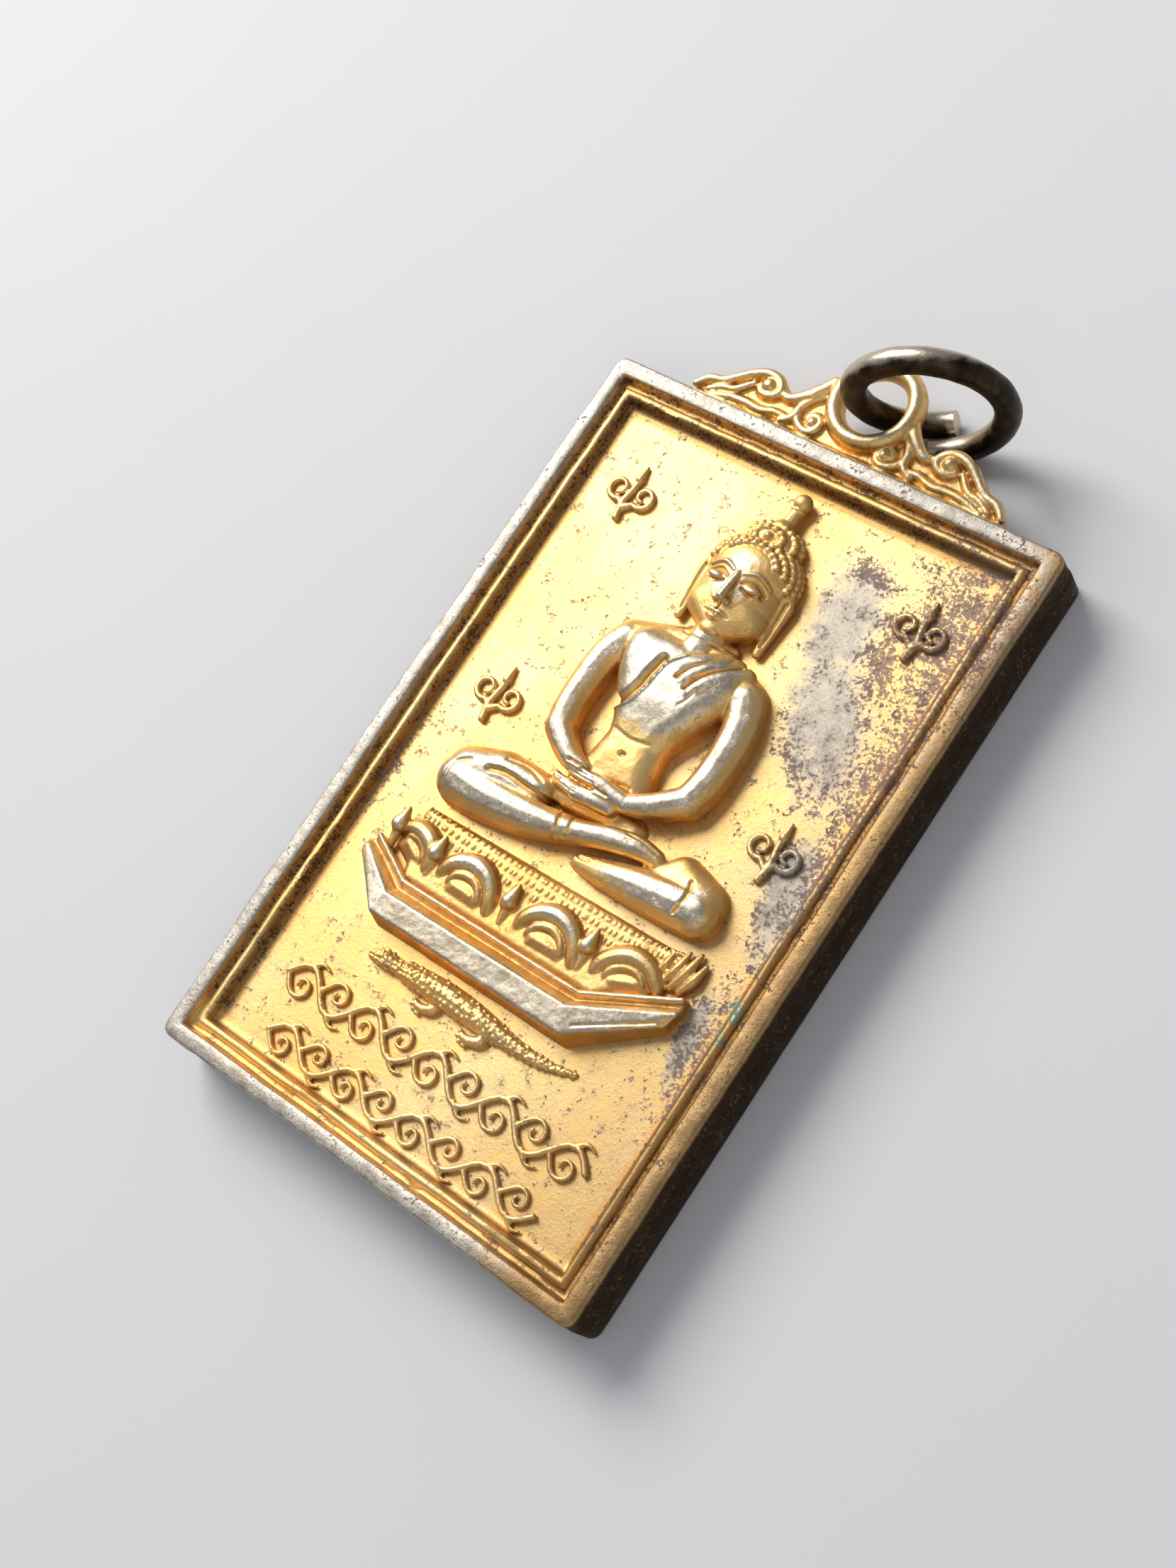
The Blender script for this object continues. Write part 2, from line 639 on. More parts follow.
figureShape = {
    "voxel": 0.06,
    # size and strength of the skin's unevenness, then the reach and span of the notes for the finish
    "skin": [(0.9, 0.05), (0.25, 0.015)],
    "form": (70, 0.28),
    "edge": (6, 0.035),
    # one row for each level of the trunk: y, half width between the balls, their height and radius
    "trunk": [(6.95, 2.05, 2.78, 1.12), (5.9, 1.6, 2.8, 1.2), (4.9, 1.05, 2.78, 1.18),
              (3.9, 0.62, 2.66, 1.12), (3.1, 0.5, 2.56, 1.06), (2.2, 0.62, 2.5, 1.08),
              (1.2, 0.95, 2.42, 1.0)],
    "trunkLean": -0.05,
    "belly": (-0.05, 2.2, 2.55, 1.4, 1.0, 1.0),
    # hulls of balls: x, y, z, radius
    "masses": [
        [(-0.6, 8.0, 2.55, 0.85), (-3.2, 7.1, 2.62, 0.9), (-0.8, 6.6, 2.6, 1.0)],
        [(0.5, 8.0, 2.55, 0.85), (3.15, 7.0, 2.62, 0.9), (0.8, 6.6, 2.6, 1.0)],
        [(-6.35, -1.5, 2.62, 1.15), (-4.8, -0.85, 2.7, 1.02), (-2.8, -0.75, 2.7, 0.85),
         (-3.4, -1.6, 2.7, 0.8)],
        [(-2.5, -0.35, 2.35, 0.68), (0.6, -0.15, 2.35, 0.72), (2.0, -0.2, 2.3, 0.6)],
        [(6.6, -1.4, 2.45, 1.12), (5.1, -0.72, 2.45, 0.86), (4.5, -1.35, 2.5, 0.8)],
        [(1.45, 0.5, 3.42, 0.42), (0.1, 0.7, 3.6, 0.38), (0.0, 0.5, 3.58, 0.36)],
        [(0.1, 0.72, 3.6, 0.36), (-1.65, 0.8, 3.42, 0.22), (-1.6, 0.5, 3.38, 0.22)],
        [(0.8, 0.08, 3.32, 0.42), (-0.9, -0.12, 3.46, 0.38), (0.2, 0.3, 3.38, 0.36)],
        [(-0.9, -0.12, 3.46, 0.34), (-2.35, 0.18, 3.22, 0.2), (-2.25, -0.04, 3.16, 0.2)],
    ],
    # limbs: x, y, z, radius
    "limbs": [
        [(0, 7.0, 2.7, 1.05), (0.0, 8.2, 2.7, 0.98), (0.05, 9.2, 2.7, 0.95)],
        [(-3.25, 6.95, 2.72, 0.92), (-3.72, 5.9, 2.74, 0.88), (-3.88, 4.4, 2.78, 0.82),
         (-3.84, 3.0, 2.82, 0.8), (-3.6, 2.1, 2.9, 0.78)],
        [(-3.66, 2.12, 2.95, 0.74), (-2.9, 1.55, 3.12, 0.66), (-2.1, 1.1, 3.28, 0.54),
         (-1.4, 0.92, 3.4, 0.42)],
        [(3.2, 6.95, 2.72, 0.92), (3.68, 5.9, 2.74, 0.9), (3.86, 4.4, 2.78, 0.86), (3.82, 3.0, 2.82, 0.84),
         (3.6, 1.95, 2.9, 0.8)],
        [(3.6, 1.95, 2.95, 0.76), (2.8, 1.3, 3.12, 0.68), (1.95, 0.78, 3.28, 0.56), (1.25, 0.5, 3.4, 0.44)],
        [(-2.15, 6.95, 3.02, 0.88), (-2.0, 6.2, 3.12, 0.86), (-1.85, 5.4, 3.05, 0.66),
         (-1.72, 4.7, 2.92, 0.38)],
        [(-6.4, -2.05, 2.6, 1.28), (-5.0, -2.15, 2.7, 1.18), (-3.2, -2.05, 2.82, 1.02),
         (-1.5, -1.85, 2.96, 0.8), (0.0, -1.5, 3.06, 0.6), (1.4, -1.08, 3.14, 0.57), (2.8, -0.8, 3.14, 0.55),
         (3.8, -0.78, 3.04, 0.42)],
        [(6.65, -1.85, 2.58, 1.18), (5.2, -2.0, 2.66, 1.08), (3.5, -2.2, 2.72, 0.92),
         (1.9, -2.42, 2.72, 0.68), (0.75, -2.5, 2.68, 0.46)],
    ],
    "robe": [
        [(2.65, 7.8, 2.95, 0.44), (2.05, 7.2, 3.46, 0.45), (1.55, 6.5, 3.74, 0.42), (1.2, 5.9, 3.8, 0.3)],
        [(2.05, 8.0, 2.95, 0.4), (1.35, 7.35, 3.52, 0.38), (0.85, 6.7, 3.76, 0.34), (0.55, 6.15, 3.82, 0.22)],
        [(1.5, 8.15, 2.95, 0.32), (0.75, 7.5, 3.46, 0.3), (0.25, 6.95, 3.7, 0.26), (0.0, 6.5, 3.76, 0.18)],
    ],
    # cut lines: width, depth and path
    "lines": [
        (0.15, 0.15, [(2.35, 8.05), (1.7, 7.3), (1.2, 6.62), (0.9, 6.0)]),
        (0.14, 0.13, [(1.8, 8.2), (1.05, 7.45), (0.55, 6.85), (0.28, 6.3)]),
        (0.1, 0.05, [(1.5, 6.1), (1.35, 5.6), (1.1, 5.2)]),
        (0.34, 0.24, [(-0.75, 6.7), (-0.88, 6.0), (-0.98, 5.3), (-1.25, 4.65), (-1.75, 4.2), (-2.5, 4.5)]),
        (0.22, 0.14, [(-5.1, -1.12), (-4.2, -0.92), (-3.0, -1.0), (-1.75, -0.98)]),
        (0.12, 0.06, [(-4.6, -0.35), (-3.6, -0.2), (-2.6, -0.45)]),
        (0.17, 0.09, [(-6.1, -1.15), (-6.75, -1.7), (-6.75, -2.5), (-6.85, -3.05)]),
        (0.14, 0.08, [(-0.95, -1.2), (-0.7, -1.8), (-0.75, -2.4)]),
        (0.12, 0.06, [(-0.35, -1.0), (-0.15, -1.6), (-0.25, -2.0)]),
        (0.17, 0.09, [(5.95, -0.9), (6.2, -1.6), (6.05, -2.4)]),
        (0.12, 0.07, [(0.25, -2.15), (0.75, -2.35), (1.25, -2.3)]),
        (0.12, 0.11, [(-2.0, 0.95), (-1.2, 1.02), (-0.5, 1.02), (0.2, 1.1), (1.1, 1.15)]),
        (0.12, 0.12, [(-2.2, 0.38), (-1.2, 0.34), (-0.3, 0.32), (0.6, 0.36)]),
        (0.07, 0.04, [(-1.8, 0.72), (-0.9, 0.72), (-0.4, 0.74)]),
        (0.07, 0.04, [(-1.85, 0.58), (-0.9, 0.56), (-0.35, 0.56)]),
        (0.07, 0.04, [(-2.2, 0.12), (-1.3, 0.02), (-0.8, 0.02)]),
        (0.07, 0.04, [(-2.1, -0.04), (-1.3, -0.16), (-0.8, -0.18)]),
        (0.08, 0.04, [(2.3, -0.5), (3.1, -0.5), (3.9, -0.62)]),
        (0.08, 0.04, [(2.4, -0.75), (3.1, -0.72), (3.9, -0.8)]),
        (0.17, 0.10, [(-0.1, 2.28), (0.02, 2.28)]),
        (0.16, 0.05, [(-1.1, 3.15), (-0.1, 3.0), (0.8, 3.15)]),
        (0.1, 0.05, [(-1.0, 8.35), (0, 8.2), (1.0, 8.35)]),
    ],
    # raised line along the hem of the robe
    "hem": [(0.12, -0.07, [(0.1, 7.3), (-0.45, 6.7), (-0.6, 6.0), (-0.7, 5.25), (-1.0, 4.5), (-1.6, 3.95),
                           (-2.4, 4.15)])],
}


def makeBody():
    shape = figureShape
    lean = shape["trunkLean"]
    levels = [[(lean + side * half, y, z, r) for side in (-1, 1)] for y, half, z, r in shape["trunk"]]
    masses = [above + below for above, below in zip(levels, levels[1:])] + shape["masses"]
    parts = [stretch(*[ball(*row, segments=28) for row in rows]) for rows in masses]
    parts += [rod(rows) for rows in shape["limbs"] + shape["robe"]]
    parts.append(ball(*shape["belly"]))
    body = fuse("figure_body", parts, shape["voxel"], smooth=12)
    chase(body, shape["lines"] + shape["hem"])
    castSkin(body, shape)
    finishPiece(body, shape, figureFinish, "seated_figure")


makeBody()


# Head

headShape = {
    "voxel": 0.038,
    "skin": [(0.3, 0.012)],
    "form": (90, 0.2),
    "edge": (8, 0.03),
    "middle": (0.08, 11.02),
    "growth": (1.1, 1.04),  # across and up, at the end
    # skull, cheeks, jaw and chin as hulls of balls, from the middle of the head
    "masses": [
        [(0, 0.75, 2.7, 1.82, 1.6, 1.4), (0, -0.4, 2.75, 1.86, 1.55, 1.3)],
        [(-0.86, -0.95, 2.9, 1.0, 0.95, 0.92), (0.86, -0.95, 2.9, 1.0, 0.95, 0.92),
         (0, -1.78, 2.95, 0.78, 0.66, 0.86), (0, -0.25, 3.0, 1.4, 1.2, 1.08)],
    ],
    "hairBalls": [(0, 0.95, 2.6, 2.02, 1.66, 1.46), (0, 2.5, 2.72, 1.25, 0.82, 1.0)],
    "finial": [(0.0, 3.1, 2.85, 0.58), (0.05, 3.55, 2.85, 0.36), (0.08, 4.1, 2.82, 0.3)],
    "knob": (0.1, 4.6, 2.85, 0.41, 0.42, 0.4),
    "collar": (0.08, 4.22, 2.82, 0.36, 0.12, 0.34),
    "neckFold": [(-1.1, -2.3, 2.6, 0.22), (0, -2.62, 3.1, 0.36), (1.1, -2.3, 2.6, 0.22)],
    "noseRows": [(0, 0.45, 4.02, 0.15), (0, -0.25, 4.2, 0.18), (0, -0.78, 4.28, 0.215)],
    "noseWing": (0.25, -0.88, 4.06, 0.17, 0.15, 0.16),
    "eyelid": (0.86, 0.0, 3.8, 0.46, 0.25, 0.3),
    "brow": [(0.22, 0.5, 4.04, 0.085), (0.82, 0.72, 3.98, 0.095), (1.45, 0.42, 3.64, 0.075)],
    "upperLip": [(-0.52, -1.42, 3.74, 0.08), (-0.18, -1.35, 3.9, 0.11), (0, -1.38, 3.9, 0.1),
                 (0.18, -1.35, 3.9, 0.11), (0.52, -1.42, 3.74, 0.08)],
    "lowerLip": [(-0.4, -1.54, 3.72, 0.08), (0, -1.62, 3.86, 0.14), (0.4, -1.54, 3.72, 0.08)],
    "chin": (0, -2.05, 3.45, 0.5, 0.38, 0.36),
    "ear": [(1.86, 0.75, 2.8, 0.3), (2.08, 0.3, 2.74, 0.26), (1.95, -1.95, 2.66, 0.2)],
    "curl": 0.19,  # radius of one curl
    # the hair starts above the forehead's line, and above this height on the mound
    "hairline": (1.72, 0.3),
    "moundLine": 1.9,
    # cut lines of one side, mirrored to the other: width, depth and path
    "lines": [
        (0.09, 0.09, [(0.44, -0.08), (0.86, -0.24), (1.3, -0.06)]),
        (0.11, 0.08, [(0.36, 0.14), (0.86, 0.36), (1.36, 0.12)]),
        (0.07, 0.03, [(0.0, -1.48), (0.24, -1.49), (0.56, -1.44)]),
        (0.15, 0.12, [(2.03, 0.4), (2.03, -0.5), (1.98, -1.6)]),
        (0.08, 0.04, [(0.0, -1.02), (0.0, -1.24)]),
    ],
}


def makeHead():
    shape = headShape
    cx, cy = shape["middle"]

    def moved(rows, side=1):
        return [(side * row[0] + cx, row[1] + cy) + tuple(row[2:]) for row in rows]

    parts = [stretch(*[ball(*row, segments=32) for row in moved(rows)]) for rows in shape["masses"]]
    parts += [ball(*row, segments=40) for row in moved(shape["hairBalls"])]
    parts += [rod(moved(shape[key])) for key in ("noseRows", "upperLip", "lowerLip", "finial", "neckFold")]
    parts += [ball(*row) for row in moved([shape["knob"], shape["collar"], shape["chin"]])]
    for side in (1, -1):
        parts += [ball(*row) for row in moved([shape["noseWing"], shape["eyelid"]], side)]
        parts.append(rod(moved(shape["brow"], side)))
        parts.append(stretch(*[ball(*row) for row in moved(shape["ear"], side)]))
    parts += hairCurls(cx, cy)
    head = fuse("figure_head", parts, shape["voxel"], smooth=3)
    strokes = []
    for width, depth, path in shape["lines"]:
        strokes += [(width, depth, moved(path)), (width, depth, moved(path, -1))]
    chase(head, strokes)
    pick(head)
    editMesh()
    bpy.ops.transform.resize(value=(*shape["growth"], 1), center_override=(cx, cy, panelTop))
    endEdit()
    castSkin(head, shape)
    finishPiece(head, shape, headFinish, "seated_figure")


def hairCurls(cx, cy):
    # rows of small curls over the hair, and over the mound on top
    curls = []
    gap = 1.8 * headShape["curl"]
    middleLine, droop = headShape["hairline"]
    for index, (x, y, z, rx, ry, rz) in enumerate(headShape["hairBalls"]):
        rings = int(math.pi * ry / 2 / gap)
        for ring in range(rings + 1):
            lean = ring / rings * math.pi / 2
            around = max(1, int(2 * math.pi * rx * math.sin(lean) / gap))
            for k in range(around):
                turn = 2 * math.pi * (k + 0.5 * (ring % 2)) / around
                px = x + rx * math.sin(lean) * math.cos(turn)
                py = y + ry * math.sin(lean) * math.sin(turn)
                pz = z + rz * math.cos(lean)
                hairline = middleLine - droop * px * px if index == 0 else headShape["moundLine"]
                if py > hairline:
                    curls.append(ball(px + cx, py + cy, pz, headShape["curl"], segments=8))
    return curls


makeHead()


# Lotus throne

throneShape = {
    "voxel": 0.05,
    "skin": [(0.3, 0.02)],
    "form": (50, 0.18),
    "edge": (6, 0.04),
    # x, y and level of the hull's balls
    "band": [(-6.9, -4.12, -0.16), (7.4, -3.9, -0.16), (-6.0, -6.85, 0.02), (4.5, -6.8, 0.02)],
    "bandHeight": 0.42,
    "tickLine": [(-7.0, -3.85), (-3.0, -3.95), (1.0, -3.98), (4.5, -3.88), (7.2, -3.55)],
    # distance below the line and half length of each row of ticks
    "ticks": [(0.0, 0.12), (0.4, 0.15), (0.88, 0.2)],
    "tick": (0.08, 0.195, 0.12),  # half width, level, half height
    "ticksInRow": 54,
    "seed": 11,
    # across in half widths, up in heights, level above the panel, size of the rod
    "arch": [(-1.0, -0.15, 0.22, 0.55), (-0.93, 0.25, 0.34, 0.8), (-0.72, 0.64, 0.42, 1.0),
             (-0.36, 0.93, 0.46, 1.1), (0.06, 1.02, 0.48, 1.15), (0.44, 0.88, 0.46, 1.1),
             (0.74, 0.55, 0.42, 1.0), (0.92, 0.12, 0.36, 0.9), (1.0, -0.25, 0.28, 0.7),
             (1.04, -0.6, 0.16, 0.35)],
    # shares of the rows above: spread, level and radius of the rod
    "archFit": (0.95, 0.8, 0.43),
    "sunk": 0.12,  # the turned petals at the ends lie this much lower
    # across in half widths, up in mm, level, radius
    "petalBody": [(-0.6, 0.0, 0.24, 0.2), (0.62, 0.0, 0.24, 0.2), (-0.5, -0.5, 0.18, 0.22),
                  (0.62, -0.5, 0.18, 0.22), (-0.26, 0.2, 0.32, 0.18), (0.28, 0.2, 0.32, 0.18),
                  (-0.3, -0.1, 0.4, 0.2), (0.34, -0.1, 0.4, 0.2)],
    # the inner petal's edge: share of the arch's width and height, level, radius
    "innerArch": (0.56, 0.5, 0.38, 0.2),
    # x of the middle, y of the foot, half width, height, turn
    "bigPetals": [(-3.25, -6.1, 1.6, 1.15, -2), (1.45, -6.15, 1.68, 1.2, 2), (5.45, -5.75, 1.6, 1.0, 22),
                  (-6.5, -5.72, 1.25, 0.8, -26)],
    "smallPetals": [(-5.4, -5.2), (-1.0, -5.3), (3.3, -5.15), (-7.8, -4.95)],
    "leaves": [(6.9, -4.95, 7.3, -3.35, 0.16), (7.35, -5.0, 7.8, -3.2, 0.19), (7.8, -5.0, 8.25, -3.5, 0.18),
               (6.45, -4.8, 6.7, -3.6, 0.13)],
}


def petalPoint(row, u, v):
    # a place on a petal: u across in half widths, v up in millimetres
    x, y, half, height, turn = row
    c, s = math.cos(math.radians(turn)), math.sin(math.radians(turn))
    return x + u * half * c - v * s, y + u * half * s + v * c


def petalParts(row):
    half, height, turn = row[2:]
    base = panelTop - (throneShape["sunk"] if abs(turn) > 5 else 0)
    spread, lift, wire = throneShape["archFit"]
    arch = [(*petalPoint(row, u * spread, v * height), base + level * lift, wire * size)
            for u, v, level, size in throneShape["arch"]]
    body = [ball(*petalPoint(row, u, v), base + level, r) for u, v, level, r in throneShape["petalBody"]]
    wide, tall, raised, thick = throneShape["innerArch"]
    inner = [(*petalPoint(row, u * wide, v * tall * height), base + raised + level * 0.2, thick * size)
             for u, v, level, size in throneShape["arch"][:-1]]
    under = ball(*petalPoint(row, 0, 0), base + 0.05, half * 0.92, height * 0.85, 0.36, turn)
    return [rod(arch, steps=3), rod(inner, steps=2), stretch(*body), under]


def makeThrone():
    shape = throneShape
    base = panelTop
    dice = random.Random(shape["seed"])
    parts = [stretch(*[ball(x, y, base + level, 0.45, 0.4, shape["bandHeight"], segments=20)
                       for x, y, level in shape["band"]])]
    line = smoothPath(shape["tickLine"], 24)
    width, level, depth = shape["tick"]
    for drop, reach in shape["ticks"]:
        for k in range(shape["ticksInRow"]):
            spot = line[int((k + 0.5) * (len(line) - 1) / shape["ticksInRow"])]
            x = spot.x + dice.uniform(-0.03, 0.03)
            parts.append(ball(x, spot.y - drop, base + level + drop * 0.09, width,
                              reach * dice.uniform(0.8, 1.15), depth, segments=8))
    for row in shape["bigPetals"]:
        parts += petalParts(row)
    for x, y in shape["smallPetals"]:
        parts.append(stretch(ball(x, y - 0.2, base + 0.42, 0.42, 0.42, 0.4),
                             ball(x + 0.05, y + 0.6, base + 0.54, 0.1)))
        parts.append(rod([(x, y - 0.35, base + 0.35, 0.26), (x + 0.08, y - 1.2, base + 0.3, 0.17)], steps=1))
    for x0, y0, x1, y1, radius in shape["leaves"]:
        middle = ((x0 + x1) / 2 + 0.12, (y0 + y1) / 2, base + 0.3, radius * 1.3)
        parts.append(rod([(x0, y0, base + 0.15, radius), middle, (x1, y1, base + 0.2, radius * 0.6)]))
    throne = fuse("throne_petals", parts, shape["voxel"], smooth=1)
    castSkin(throne, shape)
    finishPiece(throne, shape, throneFinish, "lotus_throne")


makeThrone()


# Plinth

plinthShape = {
    "voxel": 0.055,
    "skin": [(0.8, 0.05), (0.22, 0.018)],
    "form": (50, 0.25),
    "edge": (6, 0.04),
    "cornerSize": 0.1,
    # left tip, left bend, right bend, right tip of each line: x, y
    "ledgeTop": [(-8.2, -6.05), (-5.85, -7.22), (4.25, -7.18), (8.35, -5.2)],
    "slabTop": [(-8.5, -6.68), (-6.05, -8.08), (4.25, -7.98), (8.45, -5.85)],
    "slabFoot": [(-8.55, -6.98), (-6.25, -8.98), (4.6, -9.0), (8.25, -6.45)],
    "base": [(-8.5, -7.05), (-6.1, -9.3), (4.75, -9.3), (8.2, -6.7)],
    "chamfer": 0.3,  # how far the slab's back leans under the ledge
    "backHeight": 0.55,  # share of the slab's height at which it starts to lean
    "slabHeight": [0.72, 1.16, 1.16, 0.78],
    "footDrop": 0.06,
    "ledgeHeight": 0.62,
    "ledgeEdge": 0.12,
    "ledgeRod": 0.15,
    # the scratch near the right end: width, depth, place between top and foot
    "notch": (0.1, 0.06, 0.78),
}


def endBalls(k, line, levels, radius, behind=0.0):
    # the two ends of one stretch of the plinth
    ends = plinthShape[line][k:k + 2]
    return [ball(x, y + behind, panelTop + level, radius, segments=12) for (x, y), level in zip(ends, levels)]


def makePlinth():
    shape = plinthShape
    edge, rim, lean = shape["cornerSize"], shape["ledgeEdge"], shape["chamfer"]
    ledge = shape["ledgeHeight"]
    parts = []
    for k in range(3):
        heights = shape["slabHeight"][k:k + 2]
        tops = [height - edge for height in heights]
        corners = endBalls(k, "slabTop", tops, edge)
        corners += endBalls(k, "slabFoot", [top - shape["footDrop"] for top in tops], edge)
        corners += endBalls(k, "base", (0, 0), edge)
        corners += endBalls(k, "slabTop", [height * shape["backHeight"] for height in heights], edge, lean)
        parts.append(stretch(*corners, *endBalls(k, "slabTop", (0, 0), edge, lean)))
        corners = endBalls(k, "ledgeTop", [ledge - 0.16] * 2, rim)
        corners += endBalls(k, "slabTop", [ledge - 0.3] * 2, edge)
        corners += endBalls(k, "ledgeTop", (0, 0), rim)
        parts.append(stretch(*corners, *endBalls(k, "slabTop", (0, 0), edge)))
    level = panelTop + ledge - 0.02
    parts.append(rod([(x, y, level, shape["ledgeRod"]) for x, y in shape["ledgeTop"]], steps=1))
    plinth = fuse("plinth_slab", parts, shape["voxel"], smooth=2)
    width, depth, place = shape["notch"]
    bend, tip = [Vector(top).lerp(Vector(foot), place)
                 for top, foot in zip(shape["slabTop"][2:], shape["slabFoot"][2:])]
    chase(plinth, [(width, depth, [bend.lerp(tip, 0.12), bend.lerp(tip, 0.9)])])
    castSkin(plinth, shape)
    finishPiece(plinth, shape, plinthFinish, "plinth")


makePlinth()


# Crocodile

crocodileShape = {
    "voxel": 0.045,
    "skin": [(0.16, 0.03)],
    "form": (30, 0.22),
    "edge": (5, 0.035),
    # x, y, height above the panel, radius
    "spine": [(-5.3, -10.52, 0.12, 0.3), (-4.6, -10.4, 0.2, 0.43), (-3.9, -10.42, 0.14, 0.36),
              (-3.0, -10.36, 0.14, 0.54), (-1.2, -10.32, 0.12, 0.64), (0.8, -10.36, 0.1, 0.58),
              (2.6, -10.46, 0.06, 0.4), (4.4, -10.4, 0.04, 0.26), (5.9, -10.08, 0.0, 0.13)],
    "legs": [[(-1.3, -10.7, 0.1, 0.26), (-1.35, -11.1, 0.14, 0.26), (-1.75, -11.3, 0.14, 0.24),
              (-2.15, -11.3, 0.1, 0.2)],
             [(1.4, -10.7, 0.1, 0.26), (1.4, -11.1, 0.14, 0.27), (1.0, -11.32, 0.14, 0.25),
              (0.55, -11.34, 0.1, 0.2)]],
    "scaleRows": 5,
    "scalesInRow": 48,
    "toes": [(-2.38, -11.16), (-2.4, -11.36), (-2.2, -11.52), (-1.95, -11.58),
             (0.32, -11.18), (0.3, -11.4), (0.5, -11.57), (0.78, -11.62)],
    "toe": (0.14, 0.13),  # level and radius
    "eye": (-4.45, -10.2, 0.48, 0.13),
    "mouth": (0.07, 0.05, [(-5.5, -10.58), (-5.0, -10.56), (-4.5, -10.62)]),
    "seed": 5,
}


def makeCrocodile():
    shape = crocodileShape
    base = panelTop
    parts = [rod([(x, y, base + z, r) for x, y, z, r in shape["spine"]])]
    parts += [rod([(x, y, base + z, r) for x, y, z, r in leg]) for leg in shape["legs"]]
    line = smoothPath(shape["spine"], 12)
    dice = random.Random(shape["seed"])
    for row in range(shape["scaleRows"]):
        for k in range(shape["scalesInRow"]):
            share = (k + 0.5 * (row % 2) + 2.5) * len(line) / (shape["scalesInRow"] + 3)
            spot = line[min(len(line) - 1, int(share))]
            off = (row - (shape["scaleRows"] - 1) / 2 + dice.uniform(-0.3, 0.3)) * 0.42 * spot[3]
            rise = math.sqrt(max(spot[3] ** 2 - off ** 2, 0))
            size = dice.uniform(0.06, 0.105)
            x = spot.x + dice.uniform(-0.08, 0.08)
            parts.append(ball(x, spot.y + off, base + spot.z + rise - 0.02, size, segments=8))
    level, radius = shape["toe"]
    parts += [ball(x, y, base + level, radius, segments=10) for x, y in shape["toes"]]
    x, y, level, radius = shape["eye"]
    parts.append(ball(x, y, base + level, radius, segments=10))
    crocodile = fuse("crocodile_relief", parts, shape["voxel"], smooth=1)
    chase(crocodile, [shape["mouth"]])
    castSkin(crocodile, shape)
    finishPiece(crocodile, shape, reliefFinish, "crocodile")


makeCrocodile()


# Scroll bands and corner sprigs

scrollShape = {
    "voxel": 0.045,
    "skin": [(0.35, 0.025)],
    "form": (30, 0.14),
    "edge": (5, 0.04),
    "radius": 0.16,
    "level": 0.13,
    # node: left end, right end, middle line, bends, size
    "bands": {"vine_upper": (-8.5, 8.7, -13.15, 9, 2.0), "vine_lower": (-7.7, 7.8, -15.72, 8, 1.75)},
    # node: x, y, side
    "sprigs": {"sprig_upper_left": (-7.65, 13.0, -1), "sprig_upper_right": (8.0, 13.1, 1),
               "sprig_lower_left": (-7.55, 2.1, -1), "sprig_lower_right": (7.95, 2.0, 1)},
    "sprigSize": 2.7,
}


def spiralRows(x, y, r0, r1, a0, a1, steps):
    rows = []
    for s in range(steps + 1):
        t = s / steps
        r, a = r0 + (r1 - r0) * t, math.radians(a0 + (a1 - a0) * t)
        rows.append((x + r * math.cos(a), y + r * math.sin(a)))
    return rows


def scrollLine(rows, thick=1.0, tip=0.6, steps=1):
    radius, level = scrollShape["radius"], panelTop + scrollShape["level"]
    last = len(rows) - 1
    return rod([(x, y, level, radius * thick * (1 - (1 - tip) * k / last)) for k, (x, y) in enumerate(rows)],
               steps, fine=3)


def makeBand(node, x0, x1, y, bends, size):
    step = (x1 - x0) / bends
    swing = size * 0.36
    wave = [(x0 + step * s / 6, y + swing * math.sin(math.radians(30 * s))) for s in range(bends * 6 + 1)]
    parts = [scrollLine(wave, tip=1.0)]
    for k in range(bends):
        side = 1 if k % 2 == 0 else -1
        cx = x0 + step * (k + 0.5)
        curl = [(cx + px, y - side * size * 0.13 + side * py)
                for px, py in spiralRows(0, 0, size * 0.3, size * 0.09, 215, 560, 12)]
        parts.append(scrollLine([(cx - step * 0.5, y)] + curl, 0.85))
        leaf = [(cx - 0.1, y + side * swing * 0.9), (cx + step * 0.2, y + side * size * 0.52),
                (cx + step * 0.42, y + side * size * 0.46)]
        parts.append(scrollLine(leaf, 1.0, 0.4, steps=3))
    return fuse(node.replace("vine", "band"), parts, scrollShape["voxel"], smooth=2)


def makeSprig(node, x, y, side):
    size = scrollShape["sprigSize"]
    r = size * 0.22
    stem = [(0, -size * 0.5), (side * size * 0.05, -size * 0.2), (0, size * 0.1), (0, size * 0.34)]
    parts = [scrollLine([(x + px, y + py) for px, py in stem], 1.2, 0.9, steps=3),
             scrollLine([(x, y + size * 0.26), (x, y + size * 0.38), (x, y + size * 0.5)], 1.5, 0.4)]
    for turn in (-1, 1):
        curl = [(0, -size * 0.3)] + spiralRows(r * 1.15, 0, r, r * 0.35, -120, 270, 14)
        parts.append(scrollLine([(x + turn * px, y + py) for px, py in curl], 1.15))
    return fuse(node.replace("sprig", "corner_sprig"), parts, scrollShape["voxel"], smooth=2)


def makeScrolls():
    pieces = {node: makeBand(node, *row) for node, row in scrollShape["bands"].items()}
    pieces.update({node: makeSprig(node, *row) for node, row in scrollShape["sprigs"].items()})
    for node, piece in pieces.items():
        castSkin(piece, scrollShape)
        finishPiece(piece, scrollShape, reliefFinish, node)


makeScrolls()


# Crest and hanging loop

